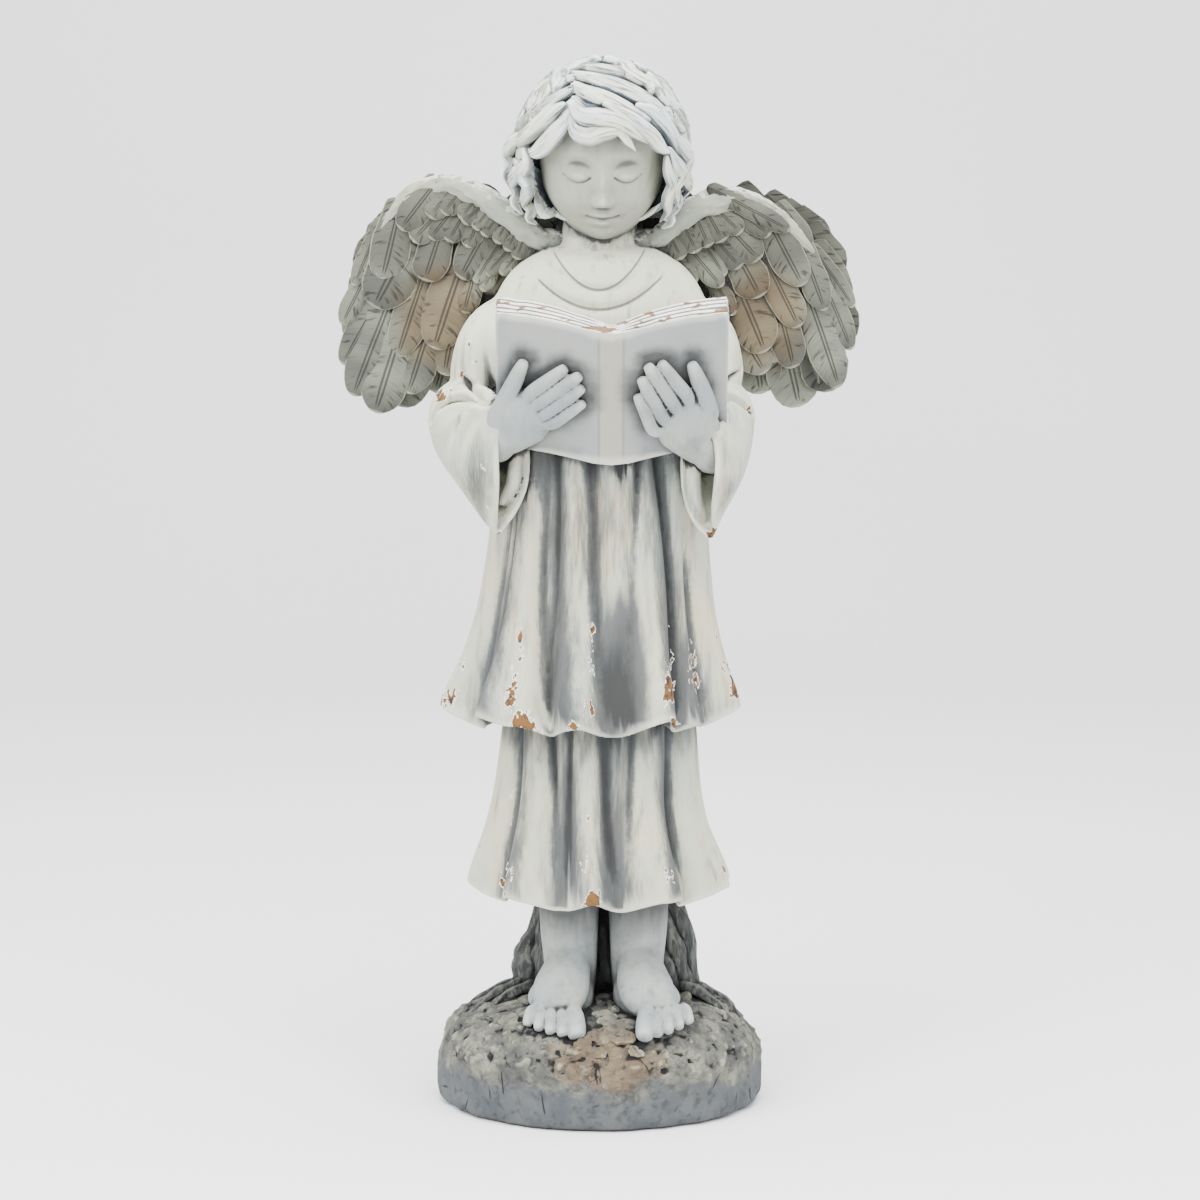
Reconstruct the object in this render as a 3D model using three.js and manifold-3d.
// A standing child angel that reads an open book, cast in one piece with its wings, a tree stump and a
// rocky mound. Millimetres, +Z up. The figure faces -Y, and +X is on the right of someone facing it.
// Every form is a three.js geometry whose vertices are moved by a function of a few named sizes, and
// manifold-3d joins the forms into the one solid.
import * as THREE from "three";
import { mergeVertices } from "three/addons/utils/BufferGeometryUtils.js";
import Module from "manifold-3d";

const wasm = await Module();
wasm.setup();

// ---- Driving dimensions -------------------------------------------------------------------------
const HEIGHT = 840; // underside of the mound to the top of the hair
const MOUND = { halfWidth: 131, halfDepth: 109, height: 84, bulgeHeight: 29 };
const FLOOR_CUT = 2; // what the flat underside takes off the mound
const HEM_LOWER = 176; // height of the underskirt's hem
const HEM_UPPER = 319; // height of the tunic's hem
const SHOULDER = 655; // height of the shoulder seam
const NECK = { x: -3, bottom: 650, top: 706 };
const HEAD = { x: 2, y: -6, z: 763, tiltDeg: 17, halfWidth: 49, halfDepth: 57, halfHeight: 69 };
const HAIR = { rise: 4, halfWidth: 67, halfDepth: 68, halfHeight: 74, partingDeg: -17 };
const BOOK = { x: 6, y: -76, z: 527, leanDeg: 25, height: 109, left: 86, right: 92, bow: 22 };
const PAGES = { gutter: 13, thickness: 25 };
const WING = { rootX: 36, rootY: 12, reach: 176, sweep: 56, thickness: 13 };
const PAINT = new THREE.MeshStandardMaterial({ color: 0xc9ccc0, roughness: 0.85, metalness: 0 });

const rad = THREE.MathUtils.degToRad;
const lerp = THREE.MathUtils.lerp;
const vec = (x, y, z) => new THREE.Vector3(x, y, z);
const bell = (x, width) => Math.exp(-((x / width) ** 2));

// The value at t (0 to 1) of a list of evenly spaced values, joined by straight lines.
function along(values, t) {
  const at = THREE.MathUtils.clamp(t, 0, 1) * (values.length - 1);
  const i = Math.min(Math.floor(at), values.length - 2);
  return lerp(values[i], values[i + 1], at - i);
}

// ---- From geometry to solid ---------------------------------------------------------------------
// Moves every vertex of a closed geometry to place(vertex) and returns the manifold solid.
function solid(geometry, place = (p) => p) {
  const moved = geometry.clone();
  const position = moved.getAttribute("position");
  const p = vec(0, 0, 0);
  for (let i = 0; i < position.count; i++) {
    const q = place(p.fromBufferAttribute(position, i).clone());
    position.setXYZ(i, q.x, q.y, q.z);
  }
  moved.deleteAttribute("normal");
  moved.deleteAttribute("uv");
  const merged = mergeVertices(moved, 1e-3);
  return new wasm.Manifold(
    new wasm.Mesh({
      numProp: 3,
      vertProperties: merged.attributes.position.array,
      triVerts: new Uint32Array(merged.index.array),
    }),
  );
}

const joined = (solids) => solids.reduce((all, one) => all.add(one));

// A closed limb along a smooth curve. radius gives its half-width along the path, flat its thickness
// as a share of that, across is the direction of its width, and blunt is under 1 for a rounder end.
function limb({ path, radius, flat = 1, across = vec(1, 0, 0), blunt = 0.5, sides = 7, rings = 4 }) {
  const curve = new THREE.CatmullRomCurve3(path);
  return solid(new THREE.SphereGeometry(1, sides, rings), (n) => {
    const t = (1 - n.y) / 2;
    const ring = Math.hypot(n.x, n.z);
    const grow = ring < 1e-6 ? 0 : ring ** (blunt - 1);
    const tangent = curve.getTangentAt(t);
    const thick = tangent.clone().cross(across).normalize();
    const wide = thick.clone().cross(tangent).normalize();
    const r = along(radius, t) * grow;
    return curve
      .getPointAt(t)
      .addScaledVector(wide, n.x * r)
      .addScaledVector(thick, n.z * r * flat);
  });
}

// ---- Mound and stump ----------------------------------------------------------------------------
const lumps = (angle, scale) =>
  scale * (Math.sin(3 * angle + 1) + 0.7 * Math.sin(7 * angle + 2) + 0.5 * Math.sin(12 * angle)) / 2;

// The crown is rounded, and the lower side is nearly upright down to the flat underside.
function mound() {
  const { halfWidth, halfDepth, height, bulgeHeight } = MOUND;
  return solid(new THREE.SphereGeometry(1, 22, 9), (n) => {
    const angle = Math.atan2(n.x, n.z);
    const above = n.y > 0;
    const roundness = above ? 0.69 : 0.25;
    const rise = Math.abs(n.y) ** roundness;
    const spread = Math.hypot(n.x, n.z) ** roundness;
    const rough = lumps(angle + n.y, 2.4) * spread;
    return vec(
      Math.sin(angle) * (halfWidth * spread + rough),
      -Math.cos(angle) * (halfDepth * spread + rough),
      above ? lerp(bulgeHeight, height, rise) : lerp(bulgeHeight, -FLOOR_CUT, rise),
    );
  });
}

// The stump stands behind the legs and carries the weight up into the skirts.
function stump() {
  return solid(new THREE.CylinderGeometry(1, 1, 1, 16, 4), (p) => {
    const t = 0.5 - p.y; // 0 under the skirt, 1 in the mound
    const angle = Math.atan2(p.x, p.z);
    const bark = Math.hypot(p.x, p.z) * (1 + 0.08 * Math.cos(6 * angle + 3 * t));
    const halfWidth = along([48, 50, 55, 72, 100], t) * bark;
    const halfDepth = along([36, 38, 42, 50, 60], t) * bark;
    return vec(4 + Math.sin(angle) * halfWidth, 38 - Math.cos(angle) * halfDepth, lerp(230, 56, t));
  });
}

// ---- Legs and bare feet -------------------------------------------------------------------------
// side is -1 or 1. ankle is the middle of the ankle, and toes run from the big toe outwards.
const FEET = [
  { side: -1, ankle: -23, bigToe: vec(-19, -86, 68), littleToe: vec(-57, -66, 77) },
  { side: 1, ankle: 30, bigToe: vec(34, -88, 68), littleToe: vec(70, -68, 77) },
];
const TOE_COUNT = 5;

function leg({ side, ankle, bigToe, littleToe }) {
  const shin = limb({
    path: [vec(ankle, -2, 250), vec(ankle + side, -6, 160), vec(ankle, -10, 116), vec(ankle, -12, 76)],
    radius: [27, 25, 21, 22],
    blunt: 0.25,
    sides: 10,
  });
  const ball = bigToe.clone().lerp(littleToe, 0.45).add(vec(0, 14, 4));
  const instep = limb({
    path: [vec(ankle, 8, 84), vec(ankle + side * 2, -22, 92), ball.clone().add(vec(0, 0, -2))],
    radius: [17, 22, 24],
    flat: 0.62,
    blunt: 0.4,
    sides: 8,
  });
  const toes = Array.from({ length: TOE_COUNT }, (_, i) => {
    const share = i / (TOE_COUNT - 1);
    const bend = 5 * Math.sin(share * Math.PI); // the middle toes reach a little further out
    const tip = bigToe.clone().lerp(littleToe, share).add(vec(side * bend * 0.4, -bend * 0.5, 0));
    const root = ball.clone().lerp(tip, 0.15).add(vec((tip.x - ball.x) * 0.62, 2, 3));
    const size = lerp(9.6, 6, Math.sqrt(share));
    return limb({
      path: [root, root.clone().lerp(tip, 0.6).add(vec(0, 0, 2.5)), tip],
      radius: [size * 0.9, size, size],
      sides: 5,
      rings: 3,
    });
  });
  return joined([shin, instep, ...toes]);
}

// ---- Skirts -------------------------------------------------------------------------------------
// A valley between two folds: its bearing at the top and at the hem in degrees (0 faces forward,
// positive towards +X), its half-width in degrees and its depth in millimetres at the top and the hem.
const FRONT_BEARING = 75;
const valleys = (rows) => rows.map(([top, hem, width, shallow, deep]) => ({ top, hem, width, shallow, deep }));
const TUNIC_VALLEYS = valleys([
  [-62, -66, 7, 3, 9],
  [-46, -47, 4, 3, 6],
  [-31, -25, 5, 5, 9],
  [-20, -17, 4, 5, 1],
  [-5, 10, 9, 4, 11],
  [20, 17, 5, 5, 2],
  [39, 44, 6, 7, 14],
  [61, 66, 7, 4, 9],
]);
const SKIRT_VALLEYS = valleys([
  [-66, -68, 6, 4, 8],
  [-53, -49, 5, 4, 6],
  [-30, -24, 7, 7, 9],
  [7, 11, 9, 5, 9],
  [22, 21, 5, 4, 3],
  [41, 45, 6, 6, 11],
  [65, 66, 7, 4, 8],
]);
const BACK_VALLEYS = 7;

function foldDepth(table, bearing, t) {
  if (Math.abs(bearing) > FRONT_BEARING) {
    const behind = (bearing < 0 ? bearing + 360 : bearing) - FRONT_BEARING;
    const spacing = (360 - 2 * FRONT_BEARING) / BACK_VALLEYS;
    const offset = (behind % spacing) - spacing / 2;
    return lerp(3, 9, t) * bell(offset, spacing * 0.24);
  }
  return table.reduce((sum, { top, hem, width, shallow, deep }) => {
    const centre = lerp(top, hem, t);
    return sum + lerp(shallow, deep, t) * bell(bearing - centre, width);
  }, 0);
}

// A closed bell of cloth. profile lists [height, half-width, half-depth] from the top to the hem.
function skirt({ table, profile, centreX, flare, neckDrop = 0, sides, rings, hollow }) {
  const hem = profile.at(-1)[0];
  const top = Math.min(profile[0][0], 575);
  return solid(new THREE.CylinderGeometry(1, 1, 1, sides, rings), (p) => {
    const t = 0.5 - p.y;
    const ring = Math.hypot(p.x, p.z);
    const angle = Math.atan2(p.x, p.z);
    const bearing = THREE.MathUtils.radToDeg(angle);
    const z = along(profile.map((row) => row[0]), t);
    const fold = foldDepth(table, bearing, (top - z) / (top - hem)) * THREE.MathUtils.smoothstep(650 - z, 0, 90);
    const lip = flare * Math.max(0, (t - 0.8) / 0.2) ** 2 * (1 - fold / 10);
    const size = (list) => along(list, t) - fold + 3 + lip;
    const droop = t > 0.97 ? 0.35 * (8 - fold) : 0;
    const yoke = neckDrop * (0.3 - Math.cos(angle)) * THREE.MathUtils.smoothstep(z, 630, 680);
    const raised = ring < 0.5 && t > 0.5 ? hollow : 0;
    return vec(
      centreX + Math.sin(angle) * size(profile.map((row) => row[1])) * ring,
      -Math.cos(angle) * size(profile.map((row) => row[2])) * ring,
      z + (droop + yoke) * ring + raised,
    );
  });
}

const underskirt = () =>
  skirt({
    table: SKIRT_VALLEYS,
    profile: [[330, 77, 61], [278, 82, 66], [227, 91, 73], [HEM_LOWER, 103, 83]],
    centreX: 2,
    flare: 3,
    sides: 42,
    rings: 3,
    hollow: 26,
  });

const tunic = () =>
  skirt({
    table: TUNIC_VALLEYS,
    profile: [
      [694, 31, 31],
      [680, 42, 41],
      [666, 60, 47],
      [646, 76, 51],
      [614, 82, 56],
      [575, 80, 58],
      [530, 81, 61],
      [480, 86, 66],
      [425, 91, 70],
      [370, 101, 79],
      [HEM_UPPER, 117, 94],
    ],
    centreX: 0,
    flare: 5,
    neckDrop: 10,
    sides: 42,
    rings: 10,
    hollow: 22,
  });

// ---- Sleeves ------------------------------------------------------------------------------------
// The two arms differ a little: lift and inset move the elbow up and towards the body.
const ARMS = [
  { side: -1, inset: 0, lift: 0, cuff: vec(-73, -72, 524), wrist: vec(-84, -62, 545), tip: 468 },
  { side: 1, inset: 9, lift: 3, cuff: vec(80, -70, 522), wrist: vec(82, -60, 538), tip: 466 },
];

function sleeve({ side, inset, lift, cuff, tip }) {
  const outer = (x) => side * (x - inset * (x > 80 ? 1 : 0.4));
  const elbow = vec(outer(99), 6, 557 + lift);
  const upperArm = limb({
    path: [vec(outer(46), 0, SHOULDER - 14), vec(outer(72), 2, 621), vec(outer(86), 4, 592), elbow],
    radius: [22, 34, 35, 34],
    across: vec(1, 0, 0.4 * side),
    sides: 9,
    rings: 5,
  });
  const halfHeight = (cuff.z + 54 - tip) / 2;
  const centre = vec(cuff.x, cuff.y, tip + halfHeight);
  const bellShape = (size, from, to, rings) =>
    solid(new THREE.CylinderGeometry(1, 1, 1, 12, rings), (p) => {
      const t = lerp(from, to, 0.5 - p.y);
      const ring = Math.hypot(p.x, p.z);
      const angle = Math.atan2(p.x, p.z);
      const wide = along([26, 35, 37, 34, 29, 25], t) + size;
      const tall = along([22, 34, 40, 46, 52, halfHeight], t) + size;
      const sag = Math.cos(angle) < 0 ? 1 : 0.86 + 0.14 * t;
      const middle = elbow.clone().lerp(centre, t).add(vec(side * 5 * Math.sin(Math.PI * t), 0, 0));
      return middle.add(
        vec(
          Math.sin(angle) * wide * ring,
          -14 * side * Math.sin(angle) * ring * t,
          Math.cos(angle) * tall * sag * ring,
        ),
      );
    });
  const cloth = bellShape(0, -0.3, 1, 4);
  const inside = bellShape(-5, 0.55, 1.15, 2);
  return upperArm.add(cloth.subtract(inside));
}

// ---- Book ---------------------------------------------------------------------------------------
const LEAN = rad(BOOK.leanDeg);

// A point of the book: across from the spine, up along the leaning cover, and depth behind the spine.
const bookPoint = (across, up, depth) =>
  vec(
    BOOK.x + across,
    BOOK.y - up * Math.sin(LEAN) + depth * Math.cos(LEAN),
    BOOK.z + up * Math.cos(LEAN) + depth * Math.sin(LEAN),
  );

const coverDepth = (across) =>
  BOOK.bow * Math.sin((Math.min(1, Math.max(0, Math.abs(across) - 9) / 83) * Math.PI) / 2);

function book() {
  const shape = new THREE.Shape();
  const steps = 5;
  const front = [];
  const back = [];
  for (let i = -steps; i <= steps; i++) {
    const share = i / steps;
    const across = share * (share < 0 ? BOOK.left : BOOK.right);
    const fan = 1 - Math.exp(-Math.abs(share) * 5);
    front.push(new THREE.Vector2(across, coverDepth(across)));
    back.unshift(new THREE.Vector2(across, coverDepth(across) + lerp(PAGES.gutter, PAGES.thickness, fan)));
  }
  shape.setFromPoints([...front, ...back]);
  const block = new THREE.ExtrudeGeometry(shape, { depth: BOOK.height, bevelEnabled: false });
  return solid(block, (p) => bookPoint(p.x, p.z, p.y));
}

// ---- Hands --------------------------------------------------------------------------------------
// Places on the book's cover as [across, up]. Fingers run from the index to the little finger.
const HANDS = [
  {
    wrist: [-88, 6],
    palm: [-68, 28],
    knuckles: [[-58, 53], [-53, 45], [-48, 37], [-44, 29]],
    tips: [[-31, 79], [-20, 75], [-18, 65], [-17, 52]],
    thumb: [[-80, 30], [-72, 52], [-63, 79]],
  },
  {
    wrist: [82, -2],
    palm: [60, 24],
    knuckles: [[60, 51], [51, 43], [42, 35], [37, 26]],
    tips: [[40, 83], [30, 83], [25, 73], [22, 59]],
    thumb: [[78, 28], [72, 52], [63, 78]],
  },
];
const FINGER_RADII = [6.6, 6.9, 6.5, 5.7];

function hand({ wrist, palm, knuckles, tips, thumb }, arm) {
  const onCover = ([across, up], proud) => bookPoint(across, up, coverDepth(across) - proud);
  const middle = knuckles[1].map((value, i) => (value + knuckles[2][i]) / 2);
  const across = onCover(knuckles[0], 0).sub(onCover(knuckles[3], 0)).normalize();
  const back = limb({
    path: [onCover(wrist, 4), onCover(palm, 6), onCover(middle, 5)],
    radius: [20, 25, 23],
    flat: 0.4,
    blunt: 0.22,
    across,
    sides: 8,
    rings: 4,
  });
  const fingers = tips.map((tip, i) =>
    limb({
      path: [
        onCover(palm.map((value, k) => lerp(value, knuckles[i][k], 0.55)), 5),
        onCover(knuckles[i], 7),
        onCover(tip, 4),
      ],
      radius: [FINGER_RADII[i], FINGER_RADII[i], FINGER_RADII[i] * 0.9],
      blunt: 0.2,
      across,
      sides: 5,
      rings: 3,
    }),
  );
  const thumbLimb = limb({
    path: [onCover(thumb[0], 3), onCover(thumb[1], 4), onCover(thumb[2], 4)],
    radius: [9, 8, 7.2],
    blunt: 0.4,
    sides: 5,
  });
  const forearm = limb({
    path: [vec(arm.side * 96, -8, 556), arm.wrist.clone().add(vec(arm.side * 2, 10, 2)), onCover(palm, 3)],
    radius: [18, 17, 15],
    rings: 3,
  });
  return joined([back, ...fingers, thumbLimb, forearm]);
}

// ---- Head ---------------------------------------------------------------------------------------
const TILT = rad(HEAD.tiltDeg);

// A point of the head: right, forward and up from its middle, before the head bows over the book.
const headPoint = (right, forward, up) =>
  vec(
    HEAD.x + right,
    HEAD.y - forward * Math.cos(TILT) - up * Math.sin(TILT),
    HEAD.z - forward * Math.sin(TILT) + up * Math.cos(TILT),
  );

// Soft hills and hollows of a calm child's face: height, right, up, half-width and half-height.
const FACE = [
  [11, 0, -20, 6.5, 8], // tip of the nose
  [5, 0, -6, 5.5, 15], // bridge
  [-4.5, 20, 3, 10, 7], // socket
  [3.4, 20, -1, 9, 5], // lowered lid
  [2, 19, 14, 15, 5], // brow
  [3.4, 27, -24, 13, 13], // cheek
  [4.2, 0, -37, 13, 7], // lips
  [5, 0, -54, 14, 9], // chin
];

function head() {
  const skull = solid(new THREE.SphereGeometry(1, 18, 13), (n) => {
    const front = Math.atan2(n.x, n.z);
    const ring = Math.hypot(n.x, n.z);
    const turned = front - 0.32 * Math.sin(front) * Math.cos(front / 2); // more facets on the face
    const x = Math.sin(turned) * ring;
    const z = Math.cos(turned) * ring;
    const low = Math.max(0, -n.y);
    const right = HEAD.halfWidth * x * (1 - 0.2 * low ** 2);
    const up = HEAD.halfHeight * n.y;
    let forward = HEAD.halfDepth * z * (z > 0 ? 1 - 0.06 * low : 1);
    const facing = THREE.MathUtils.smoothstep(z, 0.1, 0.55);
    for (const [height, at, level, width, tall] of FACE) {
      const pair = at === 0 ? bell(right, width) : bell(Math.abs(right) - at, width);
      forward += facing * height * pair * bell(up - level, tall);
    }
    return headPoint(right, forward, up);
  });
  const neck = limb({
    path: [vec(NECK.x, 4, NECK.bottom - 20), vec(NECK.x, 2, 676), vec(NECK.x / 2, 0, NECK.top + 30)],
    radius: [38, 34.5, 33],
    blunt: 0.2,
    sides: 12,
    rings: 4,
  });
  return skull.add(neck);
}

// ---- Hair ---------------------------------------------------------------------------------------
// A point of the hair by bearing and elevation in degrees, lifted off the cap by some millimetres.
function hairPoint(bearing, elevation, lift = 0) {
  const b = rad(bearing);
  const e = rad(elevation);
  return headPoint(
    (HAIR.halfWidth + lift) * Math.sin(b) * Math.cos(e),
    (HAIR.halfDepth + lift) * Math.cos(b) * Math.cos(e),
    HAIR.rise + (HAIR.halfHeight + lift) * Math.sin(e),
  );
}

const STRANDS = 8;

// The cap is cut into wavy strands that run down from the parting.
function hairCap() {
  return solid(new THREE.SphereGeometry(1, 22, 9), (n) => {
    const open = n.z > 0 ? THREE.MathUtils.smoothstep(0.5 - n.y, 0, 0.45) * n.z : 0;
    const ring = Math.hypot(n.x, n.z);
    const wave = Math.atan2(n.x, n.z) + 0.22 * Math.sin(n.y * 7);
    const size = 1 - 0.34 * open + 0.05 * Math.cos(STRANDS * wave) * Math.min(1, ring * 1.6);
    return headPoint(
      HAIR.halfWidth * n.x * size * (n.y < 0 ? 1 + 0.1 * n.y : 1),
      HAIR.halfDepth * n.z * size,
      HAIR.rise + HAIR.halfHeight * n.y * (n.y < 0 ? 0.8 : 1),
    );
  });
}

function lock(points, width) {
  return limb({
    path: points,
    radius: [width * 0.5, width * 0.95, width, width * 0.9, width * 0.45],
    flat: 0.62,
    across: points[0].clone().sub(points.at(-1)).cross(vec(0, 1, 0)).normalize(),
    blunt: 0.7,
    sides: 5,
    rings: 5,
  });
}

const CURLS = [
  { bearing: 58, end: -34, width: 17 },
  { bearing: 92, end: -44, width: 20 },
];
const FRINGE = [
  { start: 70, reach: 24, end: 8 },
  { start: 62, reach: 44, end: -8 },
];

function hair() {
  const locks = [-1, 1].flatMap((side) => [
    ...CURLS.map(({ bearing, end, width }) =>
      lock(
        [
          hairPoint(side * bearing * 0.7, 50, -2),
          hairPoint(side * (bearing + 7), 24, 3),
          hairPoint(side * (bearing - 7), 0, 4),
          hairPoint(side * (bearing + 6), end * 0.6, 5),
          hairPoint(side * (bearing - 3), end, 0),
        ],
        width,
      ),
    ),
    ...FRINGE.map(({ start, reach, end }) =>
      lock(
        [
          hairPoint(HAIR.partingDeg, start, 1),
          hairPoint(lerp(HAIR.partingDeg, side * reach, 0.55), start - 22, 4),
          hairPoint(side * reach + 6 * side, start - 36, 3),
          hairPoint(side * (reach + 18), lerp(start - 36, end, 0.6), 3),
          hairPoint(side * (reach + 26), end, 1),
        ],
        15,
      ),
    ),
  ]);
  return joined([hairCap(), ...locks]);
}

// ---- Wings --------------------------------------------------------------------------------------
// Places on a wing are outward from the middle of the figure, up from the ground, and proud of the
// wing's middle surface towards the front.
function wingPoint(outward, up, proud = 0) {
  const share = Math.max(0, outward - WING.rootX) / WING.reach;
  const behind = WING.rootY + WING.sweep * share ** 1.15 + 0.0008 * (up - 650) ** 2 * share;
  return vec(outward, behind - proud, up);
}

const WING_OUTLINE = [
  [40, 676], [44, 698], [76, 718], [112, 738], [146, 732], [172, 710],
  [190, 680], [200, 648], [204, 604], [196, 574], [168, 574], [128, 584], [86, 606], [52, 640],
];
const WING_ARM = [[38, 693], [66, 710], [98, 732], [128, 739], [156, 727], [178, 702], [192, 668]];

// Rows of feathers from the arm down. Tips run from the inner to the outer end of the row, lean is
// the bearing of the quill from straight down, and length and width go from inner to outer.
const FRONT_ROWS = [
  { count: 4, tips: [[68, 668], [106, 690], [146, 696]], length: [30, 42], width: [22, 30], lean: [34, 28] },
  { count: 3, tips: [[82, 640], [122, 652], [174, 660]], length: [46, 58], width: [28, 36], lean: [28, 16] },
  { count: 3, tips: [[106, 606], [142, 602], [186, 624]], length: [62, 66], width: [36, 36], lean: [20, 16] },
  { count: 4, tips: [[116, 585], [152, 562], [198, 590]], length: [66, 80], width: [36, 32], lean: [16, 14] },
];
const BACK_ROWS = [
  { count: 3, tips: [[98, 590], [152, 568], [202, 606]], length: [74, 80], width: [46, 38], lean: [14, 16] },
];

// The point at t of the arc through three points given as pairs.
function arcPoint([a, b, c], t) {
  const bow = b.map((value, i) => 2 * value - (a[i] + c[i]) / 2);
  return a.map((value, i) => (1 - t) ** 2 * value + 2 * t * (1 - t) * bow[i] + t ** 2 * c[i]);
}

function feather(row, index, facing) {
  const t = row.count > 1 ? index / (row.count - 1) : 0.5;
  const [tipX, tipZ] = arcPoint(row.tips, t);
  const length = lerp(...row.length, t);
  const halfWidth = lerp(...row.width, t) / 2;
  const lean = rad(lerp(...row.lean, t));
  return solid(new THREE.SphereGeometry(1, 4, 5), (n) => {
    const s = (1 - n.y) / 2; // 0 at the root, 1 at the tip
    const wide = n.x * halfWidth * (0.8 + 0.45 * s);
    const down = (1 - s) * length;
    const proud = facing * (WING.thickness / 2 - 3 + 8 * s - 0.014 * wide ** 2) + n.z * 4.2;
    const outward = tipX - down * Math.sin(lean) + wide * Math.cos(lean);
    const up = tipZ + down * Math.cos(lean) + wide * Math.sin(lean);
    return wingPoint(outward, up, proud);
  });
}

function wing() {
  const shape = new THREE.Shape(WING_OUTLINE.map(([x, z]) => new THREE.Vector2(x, z)));
  const blade = solid(
    new THREE.ExtrudeGeometry(shape, { depth: WING.thickness, bevelEnabled: false }),
    (p) => wingPoint(p.x, p.y, p.z - WING.thickness / 2),
  );
  const arm = limb({
    path: WING_ARM.map(([x, z], i) => wingPoint(x, z, i === 0 ? 6 : 3)),
    radius: [13, 12, 12.5, 12, 10.5, 8.5, 5],
    across: vec(0, 1, 0),
    blunt: 0.35,
    sides: 7,
    rings: 7,
  });
  const bracket = limb({
    path: [vec(30, 34, 640), wingPoint(84, 640, -4)],
    radius: [26, 20],
    flat: 0.6,
    across: vec(0, 0, 1),
    sides: 6,
  });
  const plumage = (rows, facing) =>
    rows.flatMap((row) => Array.from({ length: row.count }, (_, index) => feather(row, index, facing)));
  return joined([blade, arm, bracket, ...plumage(FRONT_ROWS, 1), ...plumage(BACK_ROWS, -1)]);
}

// ---- The statue ---------------------------------------------------------------------------------
const floorCut = solid(new THREE.BoxGeometry(600, 600, 200), (p) => vec(p.x, p.y, p.z - 100));

const rightWing = wing();
const figure = joined([
  mound(),
  stump(),
  ...FEET.map(leg),
  underskirt(),
  tunic(),
  ...ARMS.map(sleeve),
  book(),
  ...HANDS.map((shape, i) => hand(shape, ARMS[i])),
  head(),
  hair(),
  rightWing,
  rightWing.mirror([1, 0, 0]),
]).subtract(floorCut);

// Pockets sealed between overlapping forms are filled: only the outer skin is kept.
const skin = figure.decompose().reduce((most, one) => (one.volume() > most.volume() ? one : most));
const made = skin.getMesh();
const geometry = new THREE.BufferGeometry();
geometry.setAttribute("position", new THREE.BufferAttribute(made.vertProperties, 3));
geometry.setIndex(new THREE.BufferAttribute(made.triVerts, 1));
geometry.computeVertexNormals();
geometry.computeBoundingBox();

const statue = new THREE.Mesh(geometry, PAINT);
statue.name = "cherub_statue";
const scale = HEIGHT / geometry.boundingBox.max.z;
const middle = geometry.boundingBox.getCenter(vec(0, 0, 0));
statue.scale.setScalar(scale);
statue.position.set(-middle.x * scale, -middle.y * scale, 0); // the origin is under the box's middle

const part = new THREE.Group();
part.add(statue);
export default part;
